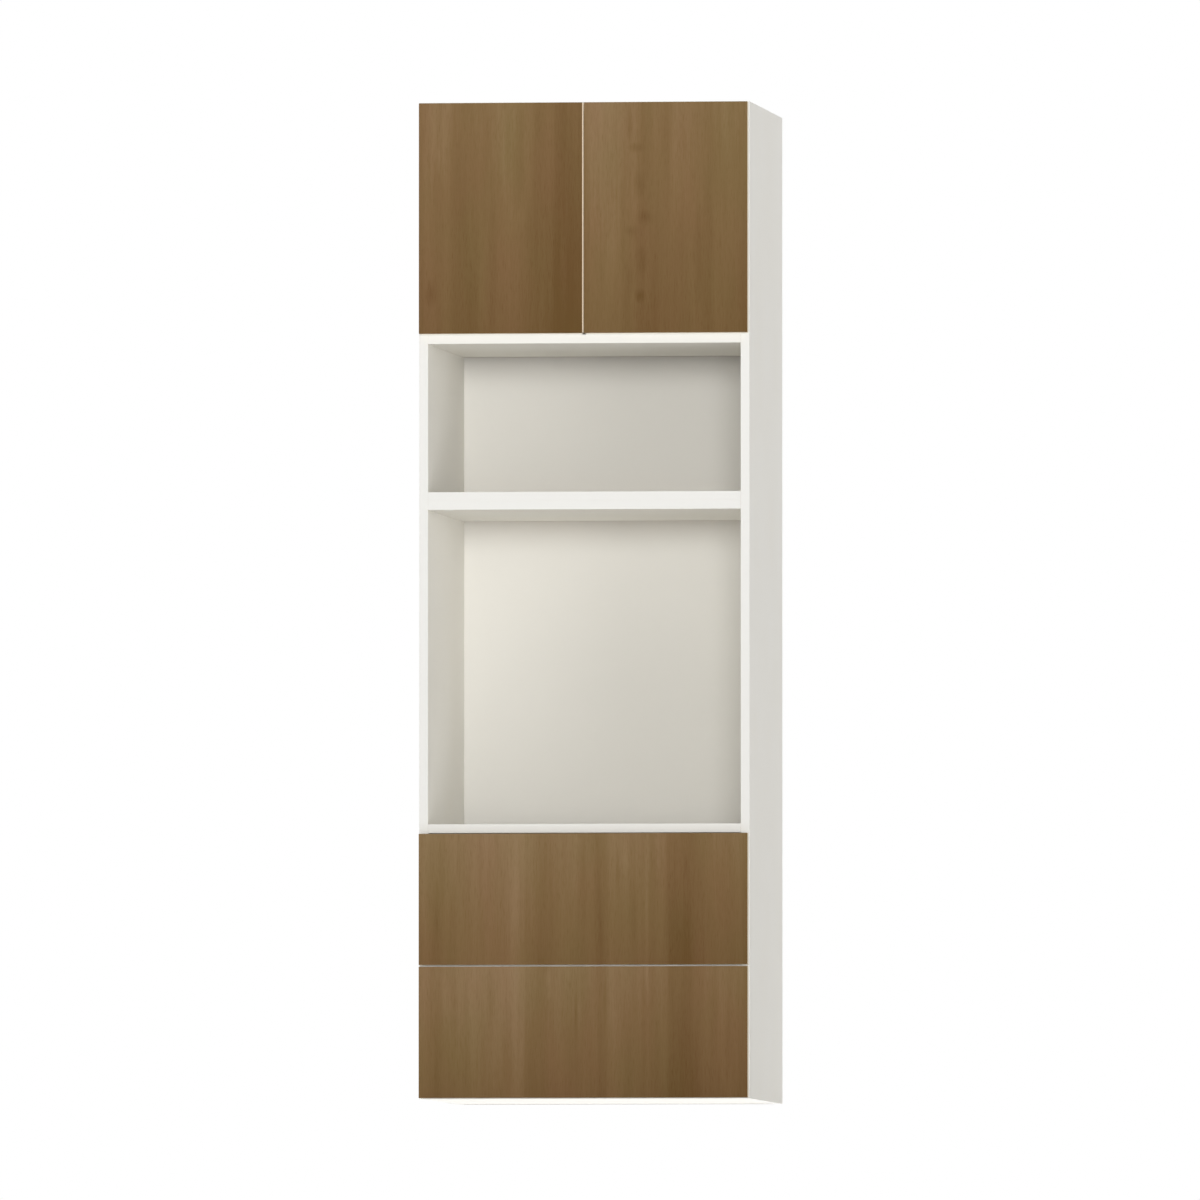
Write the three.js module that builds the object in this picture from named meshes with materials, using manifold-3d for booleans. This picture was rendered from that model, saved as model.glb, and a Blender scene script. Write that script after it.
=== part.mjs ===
// Tall oven housing unit, 600 mm wide: a two-door cupboard, a microwave niche, an oven niche
// and two deep drawers in one carcass. Millimetres, +Z up, the fronts face -Y, origin on the
// floor in the middle of the unit.

import * as THREE from 'three';
import { mergeVertices } from 'three/addons/utils/BufferGeometryUtils.js';
import Module from 'manifold-3d';

const wasm = await Module();
wasm.setup();

// ---------- driving dimensions ----------

const UNIT_WIDTH = 600;
const UNIT_HEIGHT = 1800;
const UNIT_DEPTH = 580;
const BOARD = 16; // carcass and drawer boards
const FRONT_BOARD = 18; // doors and drawer fronts
const THIN_BOARD = 3; // back panels
const FRONT_STANDOFF = 2; // air between a closed front and the carcass edge
const REVEAL = 3; // air between two neighbouring fronts

const DRAWER_MODULE = 240;
const OVEN_MODULE = 600;
const MICROWAVE_MODULE = 300;

const FLUE_DEPTH = 40; // ventilation gap behind the horizontal boards
const REBATE_WIDTH = 8; // how far the back panel laps onto each side
const DRAWER_RAIL_DEPTH = 80;
const FIXING_RAIL_HEIGHT = 100;
const SHELF_SETBACK = 20;
const SHELF_PLAY = 2; // at each end, past the collars of its pins
const SHELF_REAR_GAP = 2; // air between the shelf and the fixing rail

const HOLE_PITCH = 32; // line-bored shelf holes
const HOLE_ROWS = 5;
const HOLE_RADIUS = 2.5;
const HOLE_DEPTH = 11;
const HOLE_FROM_FRONT = 37;
const HOLE_LINE_SPACING = 13 * HOLE_PITCH; // from the front line of holes to the rear one
const FIRST_HOLE_HEIGHT = 138; // above the bottom of the cupboard's module
const SHELF_ROW = 2; // the row that holds the shelf, counted from 0

const RUNNING_GAP = 0.3;
const OVERCUT = 1; // how far a cut runs past the face that it opens

// ---------- places worked out from them ----------

const FACE_Y = -UNIT_DEPTH / 2;
const REAR_Y = UNIT_DEPTH / 2;
const CARCASS_Y = FACE_Y + FRONT_BOARD + FRONT_STANDOFF;
const FRONT_BACK_Y = FACE_Y + FRONT_BOARD;
const BACK_PANEL_Y = REAR_Y - THIN_BOARD;
const BOARD_REAR_Y = BACK_PANEL_Y - FLUE_DEPTH;
const INNER_X = UNIT_WIDTH / 2 - BOARD;
const FRONT_EDGE_X = UNIT_WIDTH / 2 - REVEAL / 2; // outer edge of every front

const DRAWERS_TOP_Z = 2 * DRAWER_MODULE;
const OVEN_TOP_Z = DRAWERS_TOP_Z + OVEN_MODULE;
const CUPBOARD_Z = OVEN_TOP_Z + MICROWAVE_MODULE;
const CEILING_Z = UNIT_HEIGHT - BOARD;

const FRONT_HOLE_Y = CARCASS_Y + HOLE_FROM_FRONT;
const HOLE_Y = [FRONT_HOLE_Y, FRONT_HOLE_Y + HOLE_LINE_SPACING];
const FIRST_HOLE_Z = CUPBOARD_Z + FIRST_HOLE_HEIGHT;
const SHELF_HOLE_Z = FIRST_HOLE_Z + SHELF_ROW * HOLE_PITCH;
const PIN_REST_RADIUS = 3;
const SHELF_Z = SHELF_HOLE_Z + PIN_REST_RADIUS + RUNNING_GAP;
const SHELF_REAR_Y = BOARD_REAR_Y - BOARD - SHELF_REAR_GAP;

const SIDES = [['left', -1], ['right', 1]];

// ---------- materials ----------

const material = (color, roughness, metalness = 0) =>
  new THREE.MeshStandardMaterial({ color, roughness, metalness });

const whiteBoard = material(0xd5d2c9, 0.55);
const whiteHardboard = material(0xd2cfc6, 0.6);
const woodGrainBoard = material(0x826948, 0.5);
const zincSteel = material(0xb4b7ba, 0.35, 1);
const nickelSteel = material(0xc2c0ba, 0.28, 1);
const greyPlastic = material(0xb9b9b5, 0.5);

// ---------- shape tools ----------

// A closed geometry as a manifold solid.
function solid(geometry) {
  const bare = geometry.clone();
  bare.deleteAttribute('normal');
  bare.deleteAttribute('uv');
  const merged = mergeVertices(bare, 1e-4);
  const corners = merged.index.array;
  const kept = [];
  for (let i = 0; i < corners.length; i += 3) {
    const [a, b, c] = [corners[i], corners[i + 1], corners[i + 2]];
    if (a !== b && b !== c && c !== a) kept.push(a, b, c);
  }
  return new wasm.Manifold(new wasm.Mesh({
    numProp: 3,
    vertProperties: new Float32Array(merged.attributes.position.array),
    triVerts: new Uint32Array(kept),
  }));
}

// A manifold solid as a flat-shaded geometry.
function geometryOf(body) {
  const mesh = body.getMesh();
  const geometry = new THREE.BufferGeometry();
  geometry.setAttribute('position', new THREE.BufferAttribute(mesh.vertProperties, 3));
  geometry.setIndex(new THREE.BufferAttribute(mesh.triVerts, 1));
  const flat = geometry.toNonIndexed();
  flat.computeVertexNormals();
  return flat;
}

// Join the first list of geometries and cut the second list from them.
function shaped(added, removed = []) {
  let body = solid(added[0]);
  for (const geometry of added.slice(1)) body = body.add(solid(geometry));
  for (const geometry of removed) body = body.subtract(solid(geometry));
  return geometryOf(body);
}

const inOrder = (a, b) => (a < b ? [a, b] : [b, a]);

// A box between two limits on each axis.
function box(x0, x1, y0, y1, z0, z1) {
  const geometry = new THREE.BoxGeometry(Math.abs(x1 - x0), Math.abs(y1 - y0), Math.abs(z1 - z0));
  return geometry.translate((x0 + x1) / 2, (y0 + y1) / 2, (z0 + z1) / 2);
}

const CORNER_STEPS = 3; // flat steps in a quarter-round corner

// An outline pushed along an axis. The outline's own axes are (y, z) along x, (x, z) along y
// and (x, y) along z.
function prism(outline, axis, start, end) {
  const shape = outline instanceof THREE.Shape ? outline : new THREE.Shape(outline);
  const geometry = new THREE.ExtrudeGeometry(shape, {
    depth: end - start,
    bevelEnabled: false,
    curveSegments: CORNER_STEPS,
  });
  const [x, y, z] = [[1, 0, 0], [0, 1, 0], [0, 0, 1]].map((v) => new THREE.Vector3(...v));
  if (axis === 'x') {
    geometry.applyMatrix4(new THREE.Matrix4().makeBasis(y, z, x));
    return geometry.translate(start, 0, 0);
  }
  if (axis === 'y') {
    geometry.applyMatrix4(new THREE.Matrix4().makeBasis(x, z, y.negate()));
    return geometry.translate(0, end, 0);
  }
  return geometry.translate(0, 0, start);
}

// A round bar along an axis; centre holds its two other coordinates in x, y, z order.
function rod(axis, centre, start, end, radius, segments = 16) {
  const geometry = new THREE.CylinderGeometry(radius, radius, end - start, segments);
  const middle = (start + end) / 2;
  const [a, b] = centre;
  if (axis === 'x') return geometry.rotateZ(-Math.PI / 2).translate(middle, a, b);
  if (axis === 'y') return geometry.translate(a, middle, b);
  return geometry.rotateX(Math.PI / 2).translate(a, b, middle);
}

// A rectangle with round corners.
function roundedRectangle(x0, x1, y0, y1, radius) {
  const shape = new THREE.Shape();
  shape.moveTo(x0 + radius, y0);
  shape.lineTo(x1 - radius, y0);
  shape.absarc(x1 - radius, y0 + radius, radius, -Math.PI / 2, 0);
  shape.lineTo(x1, y1 - radius);
  shape.absarc(x1 - radius, y1 - radius, radius, 0, Math.PI / 2);
  shape.lineTo(x0 + radius, y1);
  shape.absarc(x0 + radius, y1 - radius, radius, Math.PI / 2, Math.PI);
  shape.lineTo(x0, y0 + radius);
  shape.absarc(x0 + radius, y0 + radius, radius, Math.PI, Math.PI * 1.5);
  return shape;
}

// The closed outline of a sheet-metal section, from its centre line and thickness.
function sheetSection(line, thickness) {
  const near = [];
  const far = [];
  line.forEach((point, i) => {
    const before = line[Math.max(i - 1, 0)];
    const after = line[Math.min(i + 1, line.length - 1)];
    const into = point.clone().sub(before);
    const out = after.clone().sub(point);
    const first = (into.length() > 0 ? into : out.clone()).normalize();
    const second = (out.length() > 0 ? out : into.clone()).normalize();
    const along = first.clone().add(second).normalize();
    const reach = thickness / 2 / Math.max(along.dot(first), 0.5);
    const across = new THREE.Vector2(-along.y, along.x).multiplyScalar(reach);
    near.push(point.clone().add(across));
    far.push(point.clone().sub(across));
  });
  return [...near, ...far.reverse()];
}

const unit = new THREE.Group();

function place(parent, name, geometry, look, position = [0, 0, 0]) {
  const mesh = new THREE.Mesh(geometry, look);
  mesh.name = name;
  mesh.position.set(...position);
  parent.add(mesh);
  return mesh;
}

// ---------- carcass ----------

// A side board with a rear rebate for the back panel and, in the cupboard, two rows of
// line-bored holes for the shelf pins.
function addSide(name, side) {
  const inner = side * INNER_X;
  const outer = side * UNIT_WIDTH / 2;
  const board = box(inner, outer, CARCASS_Y, REAR_Y, 0, UNIT_HEIGHT);
  const open = inner - side * OVERCUT;
  const rebate = box(
    open, inner + side * REBATE_WIDTH, BACK_PANEL_Y, REAR_Y + OVERCUT,
    -OVERCUT, UNIT_HEIGHT + OVERCUT,
  );
  const cuts = [rebate];
  const [holeStart, holeEnd] = inOrder(open, inner + side * HOLE_DEPTH);
  for (const y of HOLE_Y) {
    for (let row = 0; row < HOLE_ROWS; row += 1) {
      const z = FIRST_HOLE_Z + row * HOLE_PITCH;
      cuts.push(rod('x', [y, z], holeStart, holeEnd, HOLE_RADIUS, 8));
    }
  }
  place(unit, `${name}_side`, shaped([board], cuts), whiteBoard);
}

// A fixed horizontal board between the sides, which leaves the flue open behind it.
function addFixedBoard(name, lowZ, rearY = BOARD_REAR_Y) {
  const geometry = box(-INNER_X, INNER_X, CARCASS_Y, rearY, 0, BOARD);
  place(unit, name, geometry, whiteBoard, [0, 0, lowZ]);
}

function addBacks() {
  const lap = INNER_X + REBATE_WIDTH - RUNNING_GAP;
  const back = box(-lap, lap, BACK_PANEL_Y, REAR_Y, 0, UNIT_HEIGHT);
  place(unit, 'back_panel', back, whiteHardboard);

  // The cupboard's own back stands on the rear edges of its floor and top, so that warm air
  // rises behind it.
  const floorZ = CUPBOARD_Z - BOARD;
  const height = UNIT_HEIGHT - floorZ;
  const width = INNER_X - RUNNING_GAP;
  const falseBack = box(-width, width, BOARD_REAR_Y, BOARD_REAR_Y + THIN_BOARD, 0, height);
  place(unit, 'cupboard_back', falseBack, whiteHardboard, [0, 0, floorZ]);

  // A rail under the top, inside the cupboard's back, takes the screws into the wall.
  const railY = BOARD_REAR_Y - BOARD;
  const rail = box(-INNER_X, INNER_X, railY, BOARD_REAR_Y, 0, FIXING_RAIL_HEIGHT);
  place(unit, 'fixing_rail', rail, whiteBoard, [0, 0, CEILING_Z - FIXING_RAIL_HEIGHT]);
}

function addCarcass() {
  for (const [name, side] of SIDES) addSide(name, side);
  addFixedBoard('bottom_panel', 0);
  addFixedBoard('drawer_rail', DRAWER_MODULE - BOARD / 2, CARCASS_Y + DRAWER_RAIL_DEPTH);
  addFixedBoard('oven_floor', DRAWERS_TOP_Z);
  addFixedBoard('oven_ceiling', OVEN_TOP_Z - BOARD);
  addFixedBoard('microwave_floor', OVEN_TOP_Z);
  addFixedBoard('cupboard_floor', CUPBOARD_Z - BOARD);
  addFixedBoard('top_panel', CEILING_Z);
  addBacks();
}

// ---------- adjustable shelf ----------

const SHELF_PIN = { reach: 9, chamfer: 0.5, collarRadius: 4.5, collarEnd: 1.5, facets: 12 };

// A turned steel pin: a shank in the side, a collar against it and a stub under the shelf.
function shelfPinGeometry() {
  const { reach, chamfer, collarRadius, collarEnd, facets } = SHELF_PIN;
  const shank = HOLE_RADIUS - RUNNING_GAP;
  const stub = PIN_REST_RADIUS;
  const profile = [
    [0, -reach], [shank - chamfer, -reach], [shank, chamfer - reach], [shank, RUNNING_GAP],
    [collarRadius, RUNNING_GAP], [collarRadius, collarEnd], [stub, collarEnd],
    [stub, reach - chamfer], [stub - chamfer, reach], [0, reach],
  ].map(([radius, height]) => new THREE.Vector2(radius, height));
  return new THREE.LatheGeometry(profile, facets);
}

function addShelf() {
  const width = INNER_X - SHELF_PLAY;
  const board = box(-width, width, CARCASS_Y + SHELF_SETBACK, SHELF_REAR_Y, 0, BOARD);
  place(unit, 'cupboard_shelf', board, whiteBoard, [0, 0, SHELF_Z]);
  for (const [name, side] of SIDES) {
    for (const [end, y] of [['front', HOLE_Y[0]], ['rear', HOLE_Y[1]]]) {
      const position = [side * INNER_X, y, SHELF_HOLE_Z];
      const pin = place(unit, `shelf_pin_${name}_${end}`, shelfPinGeometry(), zincSteel, position);
      pin.rotation.z = side * Math.PI / 2;
    }
  }
}

// ---------- doors and their concealed hinges ----------

const DOOR_HEIGHT = UNIT_HEIGHT - CUPBOARD_Z - REVEAL;
const DOOR_WIDTH = FRONT_EDGE_X - REVEAL / 2;
const HINGE_FROM_END = 94.5;

// Hinge section, seen from above: u runs inwards from the door's outer edge and v runs
// forwards from the carcass edge. The two links turn 0.44 of the door's angle the other way.
const CUP = {
  u: 21.5, radius: 17.2, wall: 0.8, corner: 1.6, floorV: 15, bore: 17.5, boreDepth: 13.3,
  facets: 24,
};
const CUP_PLATE = { u: 31, halfWidth: 5.5, halfLength: 29, corner: 5.4 };
const CUP_SCREW = { spread: 22.5, radius: 2 };
const OUTER_PIVOT = { arm: [22.9, -8], door: [9.4, 7.8] };
const INNER_PIVOT = { arm: [33.2, 0.2], door: [13.9, 6.6] };
const OUTER_ROUTE = [[23.2, 2], [23.6, 7.6], [21.4, 11.2], [17.4, 12.9], [13.9, 12.9], [10.8, 11.3]];
const INNER_ROUTE = [[32.8, 4.2], [29.5, 7.8], [25.5, 10], [20.4, 10.4], [16.6, 8.9]];
const LINK_LAYERS = { outer: [-6.5, -0.4], inner: [0.4, 6.5] };
const LINK_HALF_WIDTH = { outer: 0.9, inner: 1.2 };
const LINK_CURVE_STEPS = 12;
const BOSS_RADII = [3, 2.4]; // at the arm and at the cup
const PIN_RADIUS = 1.25;
const CUP_PIN_ENDS = [-11, 9.5]; // of the outer link's pin and the inner link's pin
const PIN_INSET = 0.2; // a pin starts this far outside the other link's layer
const FLANGE_V = [1.1, 1.8]; // the cup's rim and screw plate lie just off the door's back

// The arm's channel in section, its hollow, and the saddle and clip that hold it on its plate.
const ARM_HALF_WIDTH = 8.4;
const SHEET = 1.2;
const ARM_OUTLINE = [
  [17, -60], [17, -13], [20.4, -9.6], [20.6, -6], [32, 1.9], [34.6, 1.7], [38.2, -3.5],
  [38.2, -22], [32, -60],
];
const ARM_HOLLOW = [
  [15, -61], [15, 4], [40, 4], [40, -3.4], [37, -3.4], [37, -21.8], [30.8, -61],
];
const PLATE_U = UNIT_WIDTH / 2 - INNER_X - REVEAL / 2; // the side board's inner face
const SADDLE_OUTLINE = [
  [PLATE_U, -57], [PLATE_U, -24], [20, -22], [24, -24], [24, -57],
];
const CLIP_OUTLINE = [[23, -57], [23, -47], [34, -47], [32.2, -57]];
const WELD_OVERLAP = 0.1; // of the saddle and clip into the arm's cheeks
const PIN_SEAT = 0.5; // how far the arm's pins run into its cheeks
const MOUNTING_PLATE = { thickness: 2.4, backY: [28, 46], halfHeight: 26, corner: 6 };
const PLATE_SCREW = { backY: 37, spread: 16, radius: 3 };
const POST = { backY: 30, u: [23, 37.6], radius: 3.5 };

// A point of the hinge section in the hinge's own frame.
const sectionPoint = (side) => ([u, v]) => new THREE.Vector2(-side * u, -v);

// A flat link bent along a smooth line, with a round boss at each end.
function linkBar(at, from, route, to, kind) {
  const layer = LINK_LAYERS[kind];
  const curve = new THREE.SplineCurve([from, ...route, to].map(at));
  const line = curve.getPoints(LINK_CURVE_STEPS);
  const bar = prism(sheetSection(line, 2 * LINK_HALF_WIDTH[kind]), 'z', ...layer);
  const bosses = [from, to].map((pivot, i) => {
    const centre = at(pivot);
    return rod('z', [centre.x, centre.y], ...layer, BOSS_RADII[i], 14);
  });
  return [bar, ...bosses];
}

function pinAt(at, pivot, start, end, radius = PIN_RADIUS) {
  const centre = at(pivot);
  return rod('z', [centre.x, centre.y], start, end, radius, 10);
}

function outerLinkGeometry(side) {
  const at = sectionPoint(side);
  const { arm, door } = OUTER_PIVOT;
  const bar = linkBar(at, arm, OUTER_ROUTE, door, 'outer');
  const through = [LINK_LAYERS.outer[0] - PIN_SEAT, 0];
  const holes = [arm, door].map((pivot) => pinAt(at, pivot, ...through, PIN_RADIUS + RUNNING_GAP));
  return shaped(bar, holes);
}

// The inner link carries its own pin at the cup, so its cup pivot is the open one.
function innerLinkGeometry(side) {
  const at = sectionPoint(side);
  const { arm, door } = INNER_PIVOT;
  const bar = linkBar(at, arm, INNER_ROUTE, door, 'inner');
  const layerEnd = LINK_LAYERS.inner[1];
  const hole = pinAt(at, arm, 0, layerEnd + PIN_SEAT, PIN_RADIUS + RUNNING_GAP);
  const pin = pinAt(at, door, layerEnd - PIN_SEAT, CUP_PIN_ENDS[1]);
  return shaped([...bar, pin], [hole]);
}

// A pressed cup: a revolved shell with a rim, a screw plate across it and the outer link's pin.
function cupGeometry(side) {
  const at = sectionPoint(side);
  const centre = at([CUP.u, 0]);
  const { radius, corner, floorV, facets } = CUP;
  const mouth = radius - CUP.wall;
  const insideV = floorV - CUP.wall;
  const [flangeNear, flangeFar] = FLANGE_V;
  const profile = [
    [0, floorV], [radius - corner, floorV], [radius, floorV - corner], [radius, flangeFar],
    [radius + corner, flangeFar], [radius + corner, flangeNear], [mouth, flangeNear],
    [mouth, insideV - corner], [mouth - corner, insideV], [0, insideV],
  ].map(([r, v]) => new THREE.Vector2(r, -v));
  const shell = new THREE.LatheGeometry(profile, facets).translate(centre.x, 0, 0);

  const plateX = at([CUP_PLATE.u, 0]).x;
  const { halfWidth, halfLength } = CUP_PLATE;
  const outline = roundedRectangle(
    plateX - halfWidth, plateX + halfWidth, -halfLength, halfLength, CUP_PLATE.corner,
  );
  const plate = prism(outline, 'y', -flangeFar, -flangeNear);
  const cutY = [-flangeFar - OVERCUT, 0];
  const opening = rod('y', [centre.x, 0], ...cutY, mouth, facets);
  const screwHoles = [-CUP_SCREW.spread, CUP_SCREW.spread].map((z) =>
    rod('y', [plateX, z], ...cutY, CUP_SCREW.radius, 8));
  const pin = pinAt(at, OUTER_PIVOT.door, CUP_PIN_ENDS[0], LINK_LAYERS.outer[1] - PIN_INSET);
  const wings = geometryOf(solid(plate).subtract(solid(opening)));
  return shaped([shell, wings, pin], screwHoles);
}

// The plate that is screwed to the side board, as a solid and the cuts for its two screws.
function mountingPlate(at) {
  const { thickness, backY, halfHeight, corner } = MOUNTING_PLATE;
  const [low, high] = inOrder(at([PLATE_U, 0]).x, at([PLATE_U + thickness, 0]).x);
  const plate = prism(
    roundedRectangle(...backY, -halfHeight, halfHeight, corner), 'x', low, high,
  );
  const screwHoles = [-PLATE_SCREW.spread, PLATE_SCREW.spread].map((z) =>
    rod('x', [PLATE_SCREW.backY, z], low - OVERCUT, high + OVERCUT, PLATE_SCREW.radius, 8));
  return [plate, screwHoles];
}

// The arm is a folded channel on its mounting plate. It carries the pins of both links.
function armGeometry(side) {
  const at = sectionPoint(side);
  const across = (outline, half) => prism(outline.map(at), 'z', -half, half);
  const inside = ARM_HALF_WIDTH - SHEET;
  const cheeks = across(ARM_OUTLINE, ARM_HALF_WIDTH);
  const channelled = geometryOf(solid(cheeks).subtract(solid(across(ARM_HOLLOW, inside))));
  const saddle = across(SADDLE_OUTLINE, inside + WELD_OVERLAP);
  const clip = across(CLIP_OUTLINE, inside + WELD_OVERLAP);
  const [postLow, postHigh] = inOrder(...POST.u.map((u) => at([u, 0]).x));
  const post = rod('x', [POST.backY, 0], postLow, postHigh, POST.radius, 12);
  const seated = inside + PIN_SEAT;
  const pins = [
    pinAt(at, OUTER_PIVOT.arm, -seated, seated),
    pinAt(at, INNER_PIVOT.arm, LINK_LAYERS.inner[0] + PIN_INSET, seated),
  ];
  const [plate, plateCuts] = mountingPlate(at);
  return shaped([channelled, plate, saddle, clip, post, ...pins], plateCuts);
}

function addHinge(prefix, side, z) {
  const hinge = new THREE.Group();
  hinge.position.set(side * FRONT_EDGE_X, CARCASS_Y, z);
  unit.add(hinge);
  place(hinge, `${prefix}_hinge_cup`, cupGeometry(side), nickelSteel);
  place(hinge, `${prefix}_hinge_outer_link`, outerLinkGeometry(side), nickelSteel);
  place(hinge, `${prefix}_hinge_inner_link`, innerLinkGeometry(side), nickelSteel);
  place(hinge, `${prefix}_hinge_arm`, armGeometry(side), nickelSteel);
}

// A door, bored on its back for the two hinge cups.
function addDoor(name, side) {
  const lowZ = CUPBOARD_Z + REVEAL / 2;
  const outer = side * FRONT_EDGE_X;
  const board = box(outer, outer - side * DOOR_WIDTH, FACE_Y, FRONT_BACK_Y, 0, DOOR_HEIGHT);
  const cupX = outer - side * CUP.u;
  const heights = [['lower', HINGE_FROM_END], ['upper', DOOR_HEIGHT - HINGE_FROM_END]];
  const bores = heights.map(([, z]) =>
    rod('y', [cupX, z], FRONT_BACK_Y - CUP.boreDepth, FRONT_BACK_Y + OVERCUT, CUP.bore, CUP.facets));
  place(unit, `${name}_door`, shaped([board], bores), woodGrainBoard, [0, 0, lowZ]);
  for (const [end, z] of heights) addHinge(`${name}_${end}`, side, lowZ + z);
}

// ---------- push latch behind the doors' meeting edges ----------

const LATCH = {
  width: 50, height: 16, length: 72, corner: 3, setback: 1, boreRadius: 4.3, boreLength: 62,
  spread: 12,
};
const PLUNGER = { radius: 4, length: 50, headRadius: 5, headLength: 2 };

function addLatch() {
  const half = LATCH.width / 2;
  const outline = roundedRectangle(-half, half, -LATCH.height, 0, LATCH.corner);
  const body = prism(outline, 'y', 0, LATCH.length);
  const axisZ = -LATCH.height / 2;
  const bores = SIDES.map(([, side]) =>
    rod('y', [side * LATCH.spread, axisZ], -OVERCUT, LATCH.boreLength, LATCH.boreRadius, 14));
  const position = [0, CARCASS_Y + LATCH.setback, CEILING_Z];
  place(unit, 'push_latch_housing', shaped([body], bores), greyPlastic, position);

  const tipY = FRONT_BACK_Y + RUNNING_GAP;
  for (const [name, side] of SIDES) {
    const head = rod('y', [0, 0], 0, PLUNGER.headLength, PLUNGER.headRadius, 14);
    const rodShape = rod('y', [0, 0], 0, PLUNGER.length, PLUNGER.radius, 14);
    const plunger = place(unit, `${name}_push_latch_plunger`, shaped([head, rodShape]), greyPlastic);
    plunger.position.set(side * LATCH.spread, tipY, CEILING_Z + axisZ);
  }
}

// ---------- drawers on ball-bearing slides ----------

const SLIDE = { thickness: 13, length: 500, sheet: 1.2, setback: 2 };
const SLIDE_FROM_BOX_BOTTOM = 60;
const BOX_HEIGHT = 150;
const BOX_LENGTH = 500;
const BOX_BOTTOM_BOARD = 8;
const GROOVE_DEPTH = 8;
const GROOVE_FROM_BOX_BOTTOM = 10;
const BOX_X = INNER_X - SLIDE.thickness;
const BOX_INNER_X = BOX_X - BOARD;
const BOX_FROM_MODULE = 34; // the drawer box's underside above the bottom of its module

// Centre lines of the three slide members, from the middle of the web to the end of one
// flange: distance from the side board, then height above the slide's axis.
const SLIDE_SECTIONS = {
  cabinet: [[0.6, 0], [0.6, 20.4], [2.4, 22.2], [7.4, 22.2], [8.8, 21.5], [9.6, 20.2]],
  middle: [[4, 0], [4, 16.6], [5.4, 18], [10.4, 18]],
  drawer: [[12.4, 0], [12.4, 12.4], [11, 13.8], [6.6, 13.8]],
};
const SLIDE_SLOTS = { cabinet: [35, 259, 451], middle: [130, 370], drawer: [35, 259, 451] };
const SLOT = { halfLength: 8, halfHeight: 3, corner: 2.9 };

function slideGeometry(member, side) {
  const half = SLIDE_SECTIONS[member].map(([w, h]) => new THREE.Vector2(-side * w, h));
  const mirrored = half.slice(1).map((point) => new THREE.Vector2(point.x, -point.y)).reverse();
  const outline = sheetSection([...mirrored, ...half], SLIDE.sheet);
  const rail = prism(outline, 'y', 0, SLIDE.length);
  const webX = half[0].x;
  const slots = SLIDE_SLOTS[member].map((y) => {
    const slot = roundedRectangle(
      y - SLOT.halfLength, y + SLOT.halfLength, -SLOT.halfHeight, SLOT.halfHeight, SLOT.corner,
    );
    return prism(slot, 'x', webX - SLIDE.sheet, webX + SLIDE.sheet);
  });
  return shaped([rail], slots);
}

function addSlides(prefix, axisZ) {
  for (const [name, side] of SIDES) {
    const position = [side * INNER_X, CARCASS_Y + SLIDE.setback, axisZ];
    for (const member of Object.keys(SLIDE_SECTIONS)) {
      const node = `${prefix}_slide_${name}_${member}_member`;
      place(unit, node, slideGeometry(member, side), zincSteel, position);
    }
  }
}

// A drawer: the wood-grain front carries two sides, and the bottom runs in grooves under the
// back board.
function addDrawer(prefix, moduleZ) {
  const boxZ = moduleZ + BOX_FROM_MODULE;
  const grooveLow = boxZ + GROOVE_FROM_BOX_BOTTOM;
  const grooveHigh = grooveLow + BOX_BOTTOM_BOARD + 2 * RUNNING_GAP;
  const rearY = FRONT_BACK_Y + BOX_LENGTH;

  const frontBoard = box(
    -FRONT_EDGE_X, FRONT_EDGE_X, FACE_Y, FRONT_BACK_Y,
    moduleZ + REVEAL / 2, moduleZ + DRAWER_MODULE - REVEAL / 2,
  );
  const grooveX = BOX_INNER_X + GROOVE_DEPTH;
  const frontGroove = box(
    -grooveX, grooveX, FRONT_BACK_Y - GROOVE_DEPTH, FRONT_BACK_Y + OVERCUT,
    grooveLow, grooveHigh,
  );
  place(unit, `${prefix}_front`, shaped([frontBoard], [frontGroove]), woodGrainBoard);

  for (const [name, side] of SIDES) {
    const board = box(
      side * BOX_INNER_X, side * BOX_X, FRONT_BACK_Y, rearY, boxZ, boxZ + BOX_HEIGHT,
    );
    const groove = box(
      side * (BOX_INNER_X - OVERCUT), side * grooveX, FRONT_BACK_Y - OVERCUT, rearY + OVERCUT,
      grooveLow, grooveHigh,
    );
    place(unit, `${prefix}_${name}_side`, shaped([board], [groove]), whiteBoard);
  }

  const backZ = grooveHigh;
  const back = box(-BOX_INNER_X, BOX_INNER_X, rearY - BOARD, rearY, backZ, boxZ + BOX_HEIGHT);
  place(unit, `${prefix}_back`, back, whiteBoard);
  const reach = grooveX - RUNNING_GAP;
  const bottom = box(
    -reach, reach, FRONT_BACK_Y - GROOVE_DEPTH + RUNNING_GAP, rearY,
    grooveLow + RUNNING_GAP, grooveHigh - RUNNING_GAP,
  );
  place(unit, `${prefix}_bottom`, bottom, whiteHardboard);
  addSlides(prefix, boxZ + SLIDE_FROM_BOX_BOTTOM);
}

addCarcass();
addShelf();
for (const [name, side] of SIDES) addDoor(name, side);
addLatch();
addDrawer('lower_drawer', 0);
addDrawer('upper_drawer', DRAWER_MODULE);

export default unit;
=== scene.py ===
import math

import bmesh
import bpy
from mathutils import Matrix, Vector


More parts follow.
